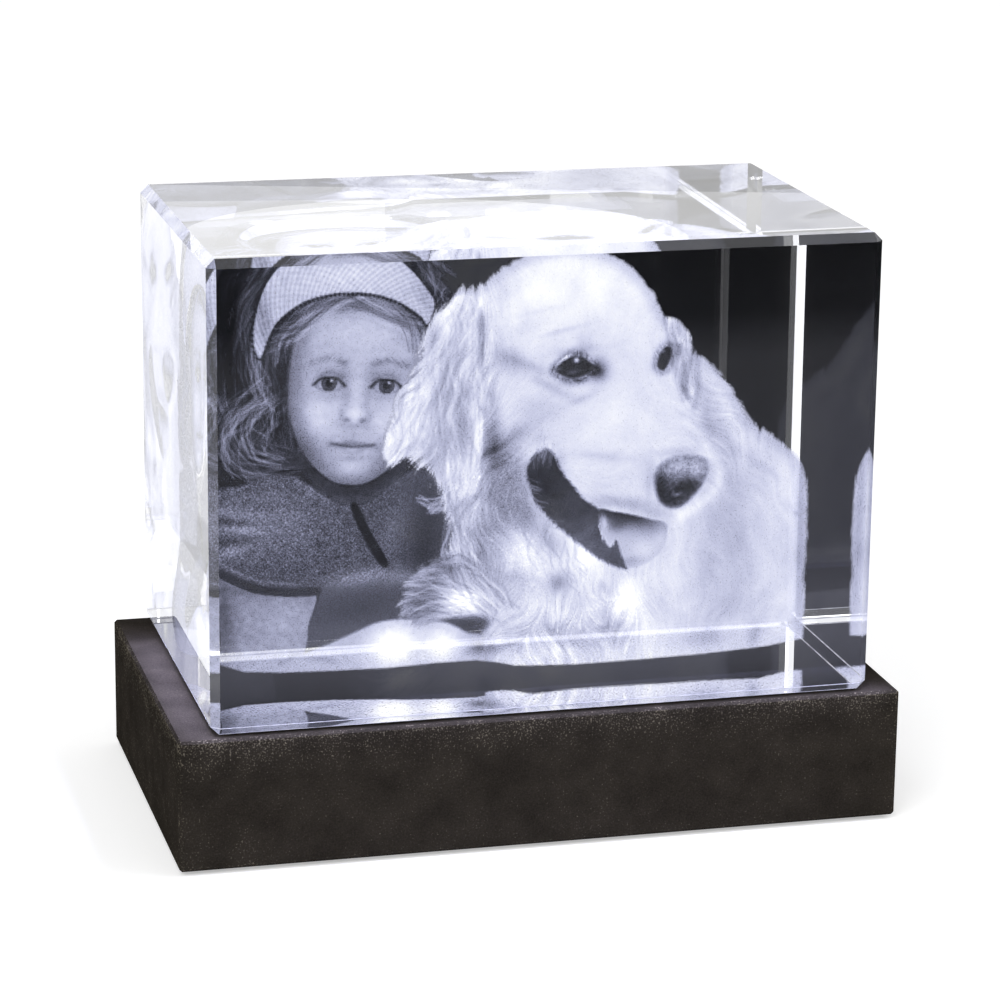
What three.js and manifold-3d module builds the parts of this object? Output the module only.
// An engraved glass block on a low lit base that runs on three AAA cells.
// Millimetres, +Z up. The origin is on the table, under the middle of the base. The front looks along -Y.
import * as THREE from "three";
import { ConvexGeometry } from "three/addons/geometries/ConvexGeometry.js";
import { mergeVertices } from "three/addons/utils/BufferGeometryUtils.js";
import Module from "manifold-3d";

const wasm = await Module();
wasm.setup();

// Glass block
const BLOCK_WIDTH = 100;
const BLOCK_DEPTH = 60;
const BLOCK_HEIGHT = 70;
const BLOCK_BEVEL = 1.25;
const SEAT_GAP = 0.2; // air under the polished face of the block

// Base housing, which follows the block in plan and the cells in height
const BASE_BORDER_X = 5; // from the block out to the base's ends
const BASE_BORDER_Y = 0.5; // from the block out to the base's front and back
const HOUSING_WALL = 2.5;
const HOUSING_TOP = 2.5;
const EDGE_BREAK = 0.4;

// Light window in the top
const SLOT_INSET = 15; // from the block's ends to the slot's ends
const SLOT_WIDTH = 10;
const WINDOW_LEDGE = 2;
const WINDOW_THICKNESS = 1.2;
const WINDOW_DROP = 0.1; // how far the window lies below the top
const WINDOW_GAP = 0.2;

// Light board
const LED_COUNT = 6;
const LED_INSET = 10; // from the slot's ends to the last diodes
const LED_LENGTH = 3.5;
const LED_WIDTH = 2.8;
const LED_HEIGHT = 1.6;
const LED_CUP_RADIUS = 1.2;
const LED_CUP_DEPTH = 0.5;
const LED_AIR = 1; // from a diode to the window
const RESISTOR_LENGTH = 2;
const RESISTOR_WIDTH = 1.25;
const RESISTOR_HEIGHT = 0.5;
const RESISTOR_SETBACK = 3.6; // from the row of diodes
const BOARD_WIDTH = 12;
const BOARD_THICKNESS = 1.2;
const BOARD_AIR = 0.4; // from the cell bay up to the board
const BOARD_SCREW_OUTSET = 4; // from the window's ends out to the screws
const BOARD_END = 5; // from the screws out to the board's ends
const BOARD_POST_RADIUS = 2.5;
const PAD_OUTSET = 6.75; // from the cell bay out to where the leads meet the board
const PAD_Y = 3;

// Bottom cover and feet
const COVER_THICKNESS = 2.6;
const COVER_GAP = 0.3;
const COVER_RECESS = 0.2; // from the housing's rim up to the cover
const COVER_SCREW_INSET_X = 16.5; // from the housing's inner walls
const COVER_SCREW_INSET_Y = 6;
const COVER_POST_RADIUS = 3;
const FOOT_RADIUS = 4;
const FOOT_HEIGHT = 0.8;
const FOOT_BEVEL = 0.2;
const FOOT_INSET = 6; // from the housing's inner walls

// Screws
const COVER_SCREW = { headRadius: 2.4, headHeight: 1.4, shankRadius: 1.3, length: 8, cross: 2.9 };
const BOARD_SCREW = { headRadius: 1.8, headHeight: 1.2, shankRadius: 1, length: 3.4, cross: 2.2 };
const SCREW_GAP = 0.2;
const PILOT_SPARE = 0.5; // how much deeper a pilot hole is than its screw
const CROSS_WIDTH = 0.6;
const CROSS_DEPTH = 0.7;

// Cells and their bay
const CELL_COUNT = 3;
const CELL_RADIUS = 5.25;
const CELL_LENGTH = 44.5;
const CELL_NUB_RADIUS = 1.9;
const CELL_NUB_LENGTH = 0.8;
const CELL_EDGE = 0.4;
const CELL_SPACING = 0.8; // between neighbouring cells
const CELL_GAP = 0.3; // above the door, below the ceiling
const BAY_SIDE_GAP = 0.6;
const BAY_WALL = 1.2;
const BAY_CEILING = 1;

// Battery contacts
const CONTACT_THICKNESS = 0.5;
const CONTACT_SIZE = 8;
const CONTACT_GAP = 0.3;
const TAB_WIDTH = 3;
const TAB_REACH = 2.2; // how far a solder tab stands out of the bay
const SPRING_LENGTH = 3.1;
const SPRING_WIRE = 0.5;
const SPRING_BASE_RADIUS = 3.4;
const SPRING_TIP_RADIUS = 2.1;
const SPRING_TURNS = 2.5;
const SPRING_SIDES = 5;
const SPRING_STEPS = 8 * SPRING_TURNS;

// Battery door
const DOOR_THICKNESS = 1.8;
const DOOR_RECESS = 0.4; // from the cover's underside up to the door
const DOOR_GAP = 0.3;
const DOOR_TAB_WIDTH = 10;
const DOOR_TAB_REACH = 4.5;
const DOOR_TAB_THICKNESS = 1;
const PIVOT_RADIUS = 0.6;
const PIVOT_LENGTH = 2;
const PIVOT_GAP = 0.2;

// Slide switch in the rear wall
const SWITCH_INSET = 6.5; // from the housing's inner end wall
const SWITCH_LENGTH = 8.6;
const SWITCH_DEPTH = 3.6;
const SWITCH_HEIGHT = 4.4;
const SWITCH_TRAVEL = 2.5;
const KNOB_LENGTH = 3;
const KNOB_HEIGHT = 2;
const KNOB_ROOT = 1.2; // the knob's length inside the switch
const KNOB_SETBACK = 0.3; // from the knob's tip to the rear face
const KNOB_GAP = 0.3;
const KNOB_GROOVE = 0.4;
const POCKET_MARGIN = 3; // round the knob's slot
const POCKET_DEPTH = 1.3;
const RIB_THICKNESS = 1.2;
const RIB_GAP = 0.3;
const TERMINAL_PITCH = 2.5;
const TERMINAL_WIDTH = 0.8;
const TERMINAL_THICKNESS = 0.4;
const TERMINAL_LENGTH = 2.5;

// Leads
const WIRE_RADIUS = 0.7;
const WIRE_SIDES = 8;
const WIRE_STEPS = 24;
const WIRE_GAP = 0.3;

const ROUND = 24; // sides of a round piece
const SMALL_ROUND = 16;
const JOIN = 0.5; // how deep joined solids run into each other
const THROUGH = 1; // how far a cutter runs past a face

// Heights and places that follow from the sizes above
const coverLow = FOOT_HEIGHT;
const coverHigh = coverLow + COVER_THICKNESS;
const rimZ = coverLow - COVER_RECESS;
const doorLow = coverLow + DOOR_RECESS;
const doorHigh = doorLow + DOOR_THICKNESS;
const cellZ = doorHigh + CELL_GAP + CELL_RADIUS;
const cellPitch = 2 * CELL_RADIUS + CELL_SPACING;
const bayCeilingZ = cellZ + CELL_RADIUS + CELL_GAP;
const boardLow = bayCeilingZ + BAY_CEILING + BOARD_AIR;
const boardHigh = boardLow + BOARD_THICKNESS;
const windowLow = boardHigh + LED_HEIGHT + LED_AIR;
const topZ = windowLow + WINDOW_THICKNESS + WINDOW_DROP;
const ceilingZ = topZ - HOUSING_TOP;
const housingWidth = BLOCK_WIDTH + 2 * BASE_BORDER_X;
const housingDepth = BLOCK_DEPTH + 2 * BASE_BORDER_Y;
const housingHeight = topZ - rimZ;
const innerWidth = housingWidth - 2 * HOUSING_WALL;
const innerDepth = housingDepth - 2 * HOUSING_WALL;
const slotLength = BLOCK_WIDTH - 2 * SLOT_INSET;
const windowBedLength = slotLength + 2 * WINDOW_LEDGE;
const windowBedWidth = SLOT_WIDTH + 2 * WINDOW_LEDGE;
const boardScrewX = windowBedLength / 2 + BOARD_SCREW_OUTSET;
const boardLength = 2 * (boardScrewX + BOARD_END);
const coverScrewX = innerWidth / 2 - COVER_SCREW_INSET_X;
const coverScrewY = innerDepth / 2 - COVER_SCREW_INSET_Y;
const coverScrewLow = coverLow + SCREW_GAP; // the heads sit in counterbores
const footX = innerWidth / 2 - FOOT_INSET;
const footY = innerDepth / 2 - FOOT_INSET;
const switchX = innerWidth / 2 - SWITCH_INSET;
const switchZ = (coverHigh + ceilingZ) / 2;
const bayLength = CELL_LENGTH + SPRING_LENGTH + 2 * CONTACT_THICKNESS + 5 * CONTACT_GAP;
const bayWidth = (CELL_COUNT - 1) * cellPitch + 2 * CELL_RADIUS + 2 * BAY_SIDE_GAP;
const contactFace = bayLength / 2 - CONTACT_GAP - CONTACT_THICKNESS;
const tabEnd = bayLength / 2 + BAY_WALL + TAB_REACH;
const pivotZ = doorLow + DOOR_THICKNESS / 2;
const pivotY = bayWidth / 2 - DOOR_GAP - DOOR_THICKNESS / 2;
const rearInnerY = innerDepth / 2;
const terminalEndY = rearInnerY - SWITCH_DEPTH - TERMINAL_LENGTH;
const cellY = (row) => (row - (CELL_COUNT - 1) / 2) * cellPitch;
const ledPitch = (slotLength - 2 * LED_INSET) / (LED_COUNT - 1);
const ledX = (index) => (index - (LED_COUNT - 1) / 2) * ledPitch;

const finish = (color, roughness, metalness = 0) =>
  new THREE.MeshStandardMaterial({ color, roughness, metalness });
const GLASS = new THREE.MeshStandardMaterial({
  color: 0xf4f7fb,
  roughness: 0.02,
  metalness: 0,
  transparent: true,
  opacity: 0.35,
});
const BASE_PLASTIC = finish(0x2a2724, 0.7);
const BLACK_PLASTIC = finish(0x1b1b1c, 0.55);
const CLEAR_PLASTIC = finish(0xe6ebf2, 0.2);
const BOARD_GREEN = finish(0x1f5a3a, 0.5);
const LED_WHITE = finish(0xf5f6ff, 0.35);
const RESISTOR_BLACK = finish(0x17171a, 0.5);
const STEEL = finish(0xb9bcc0, 0.3, 1);
const CELL_WRAP = finish(0x6d7176, 0.35, 0.6);
const RUBBER = finish(0x161616, 0.9);
const RED_LEAD = finish(0xa5211c, 0.45);
const BLACK_LEAD = finish(0x141414, 0.45);

// Solid helpers
function solidOf(geometry) {
  const bare = geometry.clone();
  bare.deleteAttribute("normal");
  bare.deleteAttribute("uv");
  const merged = mergeVertices(bare, 1e-4);
  const vertProperties = new Float32Array(merged.attributes.position.array);
  const triVerts = new Uint32Array(merged.index.array);
  return new wasm.Manifold(new wasm.Mesh({ numProp: 3, vertProperties, triVerts }));
}

function geometryOf(solid) {
  const { vertProperties, triVerts } = solid.getMesh();
  const geometry = new THREE.BufferGeometry();
  geometry.setAttribute("position", new THREE.BufferAttribute(vertProperties, 3));
  geometry.setIndex(new THREE.BufferAttribute(triVerts, 1));
  geometry.computeVertexNormals();
  return geometry;
}

function join(...geometries) {
  return geometryOf(geometries.map(solidOf).reduce((whole, next) => whole.add(next)));
}

function cut(body, ...tools) {
  return geometryOf(tools.map(solidOf).reduce((whole, next) => whole.subtract(next), solidOf(body)));
}

// A box from zLow to zHigh, centred on x and y.
function box(width, depth, zLow, zHigh, x = 0, y = 0) {
  return new THREE.BoxGeometry(width, depth, zHigh - zLow).translate(x, y, (zLow + zHigh) / 2);
}

// An upright cylinder from zLow to zHigh.
function post(radius, zLow, zHigh, x = 0, y = 0, sides = ROUND) {
  const height = zHigh - zLow;
  const upright = new THREE.CylinderGeometry(radius, radius, height, sides).rotateX(Math.PI / 2);
  return upright.translate(x, y, (zLow + zHigh) / 2);
}

// A cylinder along X from xLow to xHigh.
function rod(radius, xLow, xHigh, y, z, sides = SMALL_ROUND) {
  const length = xHigh - xLow;
  const level = new THREE.CylinderGeometry(radius, radius, length, sides).rotateZ(Math.PI / 2);
  return level.translate((xLow + xHigh) / 2, y, z);
}

// A box with a flat 45 degree bevel on all twelve edges, standing on z = 0.
function bevelledBox(width, depth, height, bevel) {
  const half = [width / 2, depth / 2, height / 2];
  const points = [];
  for (const sx of [-1, 1]) {
    for (const sy of [-1, 1]) {
      for (const sz of [-1, 1]) {
        for (const full of [0, 1, 2]) {
          const reach = half.map((size, axis) => (axis === full ? size : size - bevel));
          points.push(new THREE.Vector3(sx * reach[0], sy * reach[1], sz * reach[2]));
        }
      }
    }
  }
  return new ConvexGeometry(points).translate(0, 0, height / 2);
}

// A turned piece: the profile's points are radius and height, from the axis and back to it.
function turned(profile, sides = ROUND) {
  const points = profile.map(([radius, height]) => new THREE.Vector2(radius, height));
  return new THREE.LatheGeometry(points, sides).rotateX(Math.PI / 2);
}

function mesh(name, geometry, material) {
  const made = new THREE.Mesh(geometry, material);
  made.name = name;
  return made;
}

const corners = [-1, 1].flatMap((sx) => [-1, 1].map((sy) => [sx, sy]));

// Glass block
function glassBlock() {
  const block = bevelledBox(BLOCK_WIDTH, BLOCK_DEPTH, BLOCK_HEIGHT, BLOCK_BEVEL);
  return block.translate(0, 0, topZ + SEAT_GAP);
}

// The housing is open underneath, with posts for the cover and the board under its top.
function housing() {
  const shell = cut(
    bevelledBox(housingWidth, housingDepth, housingHeight, EDGE_BREAK).translate(0, 0, rimZ),
    box(innerWidth, innerDepth, rimZ - THROUGH, ceilingZ),
  );
  const coverPosts = corners.map(([sx, sy]) =>
    post(COVER_POST_RADIUS, coverHigh, ceilingZ + JOIN, sx * coverScrewX, sy * coverScrewY));
  const boardPosts = [-1, 1].map((side) =>
    post(BOARD_POST_RADIUS, boardHigh, ceilingZ + JOIN, side * boardScrewX));
  const ribX = SWITCH_LENGTH / 2 + RIB_GAP + RIB_THICKNESS / 2;
  const ribs = [-1, 1].map((side) => box(
    RIB_THICKNESS, SWITCH_DEPTH + JOIN, switchZ - SWITCH_HEIGHT / 2, ceilingZ + JOIN,
    switchX + side * ribX, rearInnerY - SWITCH_DEPTH / 2 + JOIN / 2));
  const coverPilots = corners.map(([sx, sy]) => post(
    COVER_SCREW.shankRadius + SCREW_GAP, coverHigh - THROUGH,
    coverScrewLow + COVER_SCREW.headHeight + COVER_SCREW.length + PILOT_SPARE,
    sx * coverScrewX, sy * coverScrewY, SMALL_ROUND));
  const boardPilots = [-1, 1].map((side) => post(
    BOARD_SCREW.shankRadius + SCREW_GAP, boardHigh - THROUGH,
    boardLow + BOARD_SCREW.length + PILOT_SPARE, side * boardScrewX, 0, SMALL_ROUND));
  return cut(
    join(shell, ...coverPosts, ...boardPosts, ...ribs),
    ...coverPilots,
    ...boardPilots,
    box(slotLength, SLOT_WIDTH, ceilingZ - THROUGH, topZ + THROUGH),
    box(windowBedLength, windowBedWidth, windowLow, topZ + THROUGH),
    knobSlot(housingDepth / 2 - POCKET_DEPTH, housingDepth / 2 + THROUGH, POCKET_MARGIN),
    knobSlot(rearInnerY - THROUGH, housingDepth / 2),
  );
}

// The space that the knob runs in, from yLow to yHigh, with a margin for a fingertip where it has one.
function knobSlot(yLow, yHigh, margin = 0) {
  const half = KNOB_HEIGHT / 2 + KNOB_GAP + margin;
  const length = KNOB_LENGTH + SWITCH_TRAVEL + 2 * (KNOB_GAP + margin);
  return box(length, yHigh - yLow, switchZ - half, switchZ + half, switchX, (yLow + yHigh) / 2);
}

function lightWindow() {
  const length = windowBedLength - 2 * WINDOW_GAP;
  const width = windowBedWidth - 2 * WINDOW_GAP;
  return box(length, width, windowLow, windowLow + WINDOW_THICKNESS);
}

// Light board
function ledBoard() {
  const holes = [-1, 1].map((side) => post(
    BOARD_SCREW.shankRadius + SCREW_GAP, boardLow - THROUGH, boardHigh + THROUGH,
    side * boardScrewX, 0, SMALL_ROUND));
  return cut(box(boardLength, BOARD_WIDTH, boardLow, boardHigh), ...holes);
}

function led(x) {
  const high = boardHigh + LED_HEIGHT;
  return cut(
    box(LED_LENGTH, LED_WIDTH, boardHigh, high, x),
    post(LED_CUP_RADIUS, high - LED_CUP_DEPTH, high + THROUGH, x, 0, SMALL_ROUND),
  );
}

function resistor(x) {
  return box(RESISTOR_LENGTH, RESISTOR_WIDTH, boardHigh, boardHigh + RESISTOR_HEIGHT, x, RESISTOR_SETBACK);
}

// A cross-head screw that points up, with its head from zLow.
function screw(size, zLow, x, y) {
  const { headRadius, headHeight, shankRadius, length, cross } = size;
  const body = turned([
    [0, 0],
    [headRadius, 0],
    [headRadius, headHeight],
    [shankRadius, headHeight],
    [shankRadius, headHeight + length - shankRadius],
    [0, headHeight + length],
  ], SMALL_ROUND);
  const crossHead = cut(
    body,
    box(cross, CROSS_WIDTH, -THROUGH, CROSS_DEPTH),
    box(CROSS_WIDTH, cross, -THROUGH, CROSS_DEPTH),
  );
  return crossHead.translate(x, y, zLow);
}

// The cover closes the housing and carries the cell bay, which opens downwards.
function bottomCover() {
  const plate = box(innerWidth - 2 * COVER_GAP, innerDepth - 2 * COVER_GAP, coverLow, coverHigh);
  const bay = box(bayLength + 2 * BAY_WALL, bayWidth + 2 * BAY_WALL, coverLow + JOIN,
    bayCeilingZ + BAY_CEILING);
  const seats = corners.flatMap(([sx, sy]) => {
    const x = sx * coverScrewX;
    const y = sy * coverScrewY;
    const seatHigh = coverScrewLow + COVER_SCREW.headHeight;
    return [
      post(COVER_SCREW.headRadius + SCREW_GAP, coverLow - THROUGH, seatHigh, x, y),
      post(COVER_SCREW.shankRadius + SCREW_GAP, coverLow, coverHigh + THROUGH, x, y, SMALL_ROUND),
    ];
  });
  const tabHigh = doorLow + DOOR_TAB_THICKNESS + DOOR_GAP;
  const tabDepth = DOOR_TAB_REACH + 2 * DOOR_GAP + THROUGH;
  const tabY = -bayWidth / 2 - tabDepth / 2 + THROUGH;
  const pivotReach = bayLength / 2 - DOOR_GAP + PIVOT_LENGTH + PIVOT_GAP;
  const slotHalf = CONTACT_THICKNESS / 2 + CONTACT_GAP;
  const tabSlot = (side, row) => box(
    BAY_WALL + 2 * THROUGH, TAB_WIDTH + 2 * CONTACT_GAP, cellZ - slotHalf, cellZ + slotHalf,
    side * (bayLength + BAY_WALL) / 2, cellY(row));
  return cut(
    join(plate, bay),
    box(bayLength, bayWidth, coverLow - THROUGH, bayCeilingZ),
    box(DOOR_TAB_WIDTH + 2 * DOOR_GAP, tabDepth, coverLow - THROUGH, tabHigh, 0, tabY),
    rod(PIVOT_RADIUS + PIVOT_GAP, -pivotReach, pivotReach, pivotY, pivotZ),
    ...seats,
    tabSlot(1, CELL_COUNT - 1),
    tabSlot(-1, 0),
  );
}

// The door's rear edge is round about its pivots, and a finger tab stands out in front.
function batteryDoor() {
  const frontY = -bayWidth / 2 + DOOR_GAP;
  const halfLength = bayLength / 2 - DOOR_GAP;
  const profile = new THREE.Shape();
  profile.moveTo(frontY, doorLow);
  profile.lineTo(pivotY, doorLow);
  profile.absarc(pivotY, pivotZ, DOOR_THICKNESS / 2, -Math.PI / 2, Math.PI / 2, false);
  profile.lineTo(frontY, doorHigh);
  const alongX = new THREE.Matrix4().makeBasis(
    new THREE.Vector3(0, 1, 0), new THREE.Vector3(0, 0, 1), new THREE.Vector3(1, 0, 0));
  const panel = new THREE.ExtrudeGeometry(profile, {
    depth: 2 * halfLength,
    bevelEnabled: false,
    curveSegments: SMALL_ROUND / 2,
  });
  panel.applyMatrix4(alongX).translate(-halfLength, 0, 0);
  const reach = halfLength + PIVOT_LENGTH;
  return join(
    panel,
    rod(PIVOT_RADIUS, -reach, reach, pivotY, pivotZ),
    box(DOOR_TAB_WIDTH, DOOR_TAB_REACH + JOIN, doorLow, doorLow + DOOR_TAB_THICKNESS, 0,
      frontY - DOOR_TAB_REACH / 2 + JOIN / 2),
  );
}

function foot(x, y) {
  return turned([
    [0, 0],
    [FOOT_RADIUS - FOOT_BEVEL, 0],
    [FOOT_RADIUS, FOOT_BEVEL],
    [FOOT_RADIUS, FOOT_HEIGHT],
    [0, FOOT_HEIGHT],
  ]).translate(x, y, 0);
}

// Even rows have their positive end at +X, odd rows at -X, so neighbours join in series.
const positiveSide = (row) => (row % 2 === 0 ? 1 : -1);

function cell(row) {
  const canLength = CELL_LENGTH - CELL_NUB_LENGTH;
  const upright = turned([
    [0, 0],
    [CELL_RADIUS - CELL_EDGE, 0],
    [CELL_RADIUS, CELL_EDGE],
    [CELL_RADIUS, canLength - CELL_EDGE],
    [CELL_RADIUS - CELL_EDGE, canLength],
    [CELL_NUB_RADIUS, canLength],
    [CELL_NUB_RADIUS, CELL_LENGTH],
    [0, CELL_LENGTH],
  ]);
  const side = positiveSide(row);
  const lying = upright.rotateY(side * Math.PI / 2);
  return lying.translate(side * (contactFace - CONTACT_GAP - CELL_LENGTH), cellY(row), cellZ);
}

// A contact plate at one end of the bay, spanning the rows from first to last.
function contactPlate(side, first, last) {
  const width = cellY(last) - cellY(first) + CONTACT_SIZE;
  const x = side * (contactFace + CONTACT_THICKNESS / 2);
  const middle = (cellY(first) + cellY(last)) / 2;
  const half = CONTACT_SIZE / 2;
  return box(CONTACT_THICKNESS, width, cellZ - half, cellZ + half, x, middle);
}

// An end contact has a solder tab that runs out through the bay's wall.
function endContact(side, row) {
  const half = CONTACT_THICKNESS / 2;
  const length = tabEnd - contactFace;
  const x = side * (contactFace + length / 2);
  const tab = box(length, TAB_WIDTH, cellZ - half, cellZ + half, x, cellY(row));
  return join(contactPlate(side, row, row), tab);
}

// A conical helix along X that narrows towards the cell.
class SpringCurve extends THREE.Curve {
  constructor(side, row) {
    super();
    this.side = side;
    this.row = row;
  }

  getPoint(t, target = new THREE.Vector3()) {
    const angle = 2 * Math.PI * SPRING_TURNS * t;
    const radius = THREE.MathUtils.lerp(SPRING_BASE_RADIUS, SPRING_TIP_RADIUS, t);
    const reach = CONTACT_GAP + SPRING_WIRE / 2 + t * (SPRING_LENGTH - SPRING_WIRE);
    return target.set(
      this.side * (contactFace - reach),
      cellY(this.row) + radius * Math.cos(angle),
      cellZ + radius * Math.sin(angle),
    );
  }
}

function circle(radius, sides) {
  const angles = Array.from({ length: sides }, (_, index) => (2 * Math.PI * index) / sides);
  return new THREE.Shape(angles.map((a) => new THREE.Vector2(radius * Math.cos(a), radius * Math.sin(a))));
}

function tube(curve, radius, sides, steps) {
  return new THREE.ExtrudeGeometry(circle(radius, sides), {
    steps,
    bevelEnabled: false,
    extrudePath: curve,
  });
}

function spring(row) {
  return tube(new SpringCurve(-positiveSide(row), row), SPRING_WIRE / 2, SPRING_SIDES, SPRING_STEPS);
}

// The least gap between turns that are half a turn or more apart along the wire.
function springGap() {
  const points = new SpringCurve(1, 0).getPoints(SPRING_STEPS * 8);
  const apart = Math.ceil(points.length / SPRING_TURNS / 2);
  let least = Infinity;
  points.forEach((from, index) => {
    points.slice(index + apart).forEach((to) => {
      least = Math.min(least, from.distanceTo(to) - SPRING_WIRE);
    });
  });
  return least;
}

// Slide switch
function switchBody() {
  const half = SWITCH_HEIGHT / 2;
  const body = box(SWITCH_LENGTH, SWITCH_DEPTH, switchZ - half, switchZ + half, switchX,
    rearInnerY - SWITCH_DEPTH / 2);
  return cut(body, knobSlot(rearInnerY - KNOB_ROOT - KNOB_GAP, rearInnerY + THROUGH));
}

// The knob rests at the lit end of its travel, at +X.
function switchKnob() {
  const tipY = housingDepth / 2 - KNOB_SETBACK;
  const rootY = rearInnerY - KNOB_ROOT;
  const half = KNOB_HEIGHT / 2;
  const x = switchX + SWITCH_TRAVEL / 2;
  const grooves = [-1, 0, 1].map((place) => box(
    KNOB_GROOVE, 2 * KNOB_GROOVE, switchZ - half - THROUGH, switchZ + half + THROUGH,
    x + 2 * place * KNOB_GROOVE, tipY));
  return cut(
    box(KNOB_LENGTH, tipY - rootY, switchZ - half, switchZ + half, x, (tipY + rootY) / 2),
    ...grooves,
  );
}

const terminalX = (place) => switchX + place * TERMINAL_PITCH;

function switchTerminal(place) {
  const half = TERMINAL_THICKNESS / 2;
  return box(TERMINAL_WIDTH, TERMINAL_LENGTH, switchZ - half, switchZ + half, terminalX(place),
    terminalEndY + TERMINAL_LENGTH / 2);
}

// Each lead follows a smooth curve through points beside the bay.
function lead(points) {
  const curve = new THREE.CatmullRomCurve3(points.map(([x, y, z]) => new THREE.Vector3(x, y, z)));
  return tube(curve, WIRE_RADIUS, WIRE_SIDES, WIRE_STEPS);
}

const padX = bayLength / 2 + BAY_WALL + PAD_OUTSET;
const padZ = boardLow - WIRE_GAP;

const batteryToSwitch = () => lead([
  [tabEnd + WIRE_GAP, cellY(2), cellZ],
  [tabEnd + 2.6, cellY(2) + 0.3, cellZ + 0.1],
  [coverScrewX, coverScrewY - COVER_POST_RADIUS - 2.5, cellZ + 0.7],
  [terminalX(-1) - 3, terminalEndY - 5.4, switchZ - 0.9],
  [terminalX(-1) - 0.3, terminalEndY - 3.3, switchZ - 0.2],
  [terminalX(-1), terminalEndY - 1.6, switchZ],
  [terminalX(-1), terminalEndY - WIRE_GAP, switchZ],
]);

const switchToBoard = () => lead([
  [terminalX(0), terminalEndY - WIRE_GAP, switchZ],
  [terminalX(0), terminalEndY - 1.7, switchZ + 0.3],
  [terminalX(0) - 0.5, terminalEndY - 4.9, switchZ + 1.9],
  [terminalX(0) - 4.5, PAD_Y + 8, padZ - 1.8],
  [padX + 3, PAD_Y + 3, padZ - 1.8],
  [padX + 0.4, PAD_Y + 0.6, padZ - 1.4],
  [padX, PAD_Y, padZ - 0.7],
  [padX, PAD_Y, padZ],
]);

const boardToBattery = () => lead([
  [-padX, -PAD_Y, padZ],
  [-padX, -PAD_Y - 0.2, padZ - 1],
  [-padX, -PAD_Y - 1.6, padZ - 2.2],
  [-padX + 0.4, cellY(0) + 3.4, cellZ + 2.6],
  [-tabEnd - 2.4, cellY(0) + 0.7, cellZ + 0.4],
  [-tabEnd - WIRE_GAP, cellY(0), cellZ],
]);

// Assembly
const display = new THREE.Group();

const block = new THREE.Group();
block.add(mesh("glass_block", glassBlock(), GLASS));
display.add(block);

const shell = new THREE.Group();
shell.add(mesh("base_housing", housing(), BASE_PLASTIC));
shell.add(mesh("light_window", lightWindow(), CLEAR_PLASTIC));
shell.add(mesh("bottom_cover", bottomCover(), BLACK_PLASTIC));
shell.add(mesh("battery_door", batteryDoor(), BLACK_PLASTIC));
corners.forEach(([sx, sy], index) => {
  const place = index + 1;
  const x = sx * coverScrewX;
  const y = sy * coverScrewY;
  shell.add(mesh(`cover_screw_${place}`, screw(COVER_SCREW, coverScrewLow, x, y), STEEL));
  shell.add(mesh(`foot_${place}`, foot(sx * footX, sy * footY), RUBBER));
});
display.add(shell);

const lights = new THREE.Group();
lights.add(mesh("led_board", ledBoard(), BOARD_GREEN));
for (let index = 0; index < LED_COUNT; index += 1) {
  lights.add(mesh(`led_${index + 1}`, led(ledX(index)), LED_WHITE));
  lights.add(mesh(`resistor_${index + 1}`, resistor(ledX(index)), RESISTOR_BLACK));
}
[-1, 1].forEach((side, index) => {
  const fastener = screw(BOARD_SCREW, boardLow - BOARD_SCREW.headHeight, side * boardScrewX, 0);
  lights.add(mesh(`board_screw_${index + 1}`, fastener, STEEL));
});
display.add(lights);

const power = new THREE.Group();
for (let row = 0; row < CELL_COUNT; row += 1) {
  power.add(mesh(`battery_${row + 1}`, cell(row), CELL_WRAP));
  power.add(mesh(`contact_spring_${row + 1}`, spring(row), STEEL));
}
power.add(mesh("contact_positive", endContact(1, 2), STEEL));
power.add(mesh("contact_negative", endContact(-1, 0), STEEL));
power.add(mesh("contact_bridge_left", contactPlate(-1, 1, 2), STEEL));
power.add(mesh("contact_bridge_right", contactPlate(1, 0, 1), STEEL));
power.add(mesh("switch_body", switchBody(), BLACK_PLASTIC));
power.add(mesh("switch_knob", switchKnob(), BLACK_PLASTIC));
[-1, 0, 1].forEach((place, index) => {
  power.add(mesh(`switch_terminal_${index + 1}`, switchTerminal(place), STEEL));
});
power.add(mesh("wire_battery_to_switch", batteryToSwitch(), RED_LEAD));
power.add(mesh("wire_switch_to_board", switchToBoard(), RED_LEAD));
power.add(mesh("wire_board_to_battery", boardToBattery(), BLACK_LEAD));
display.add(power);

console.log(`least gap between spring turns: ${springGap().toFixed(2)} mm`);

export default display;
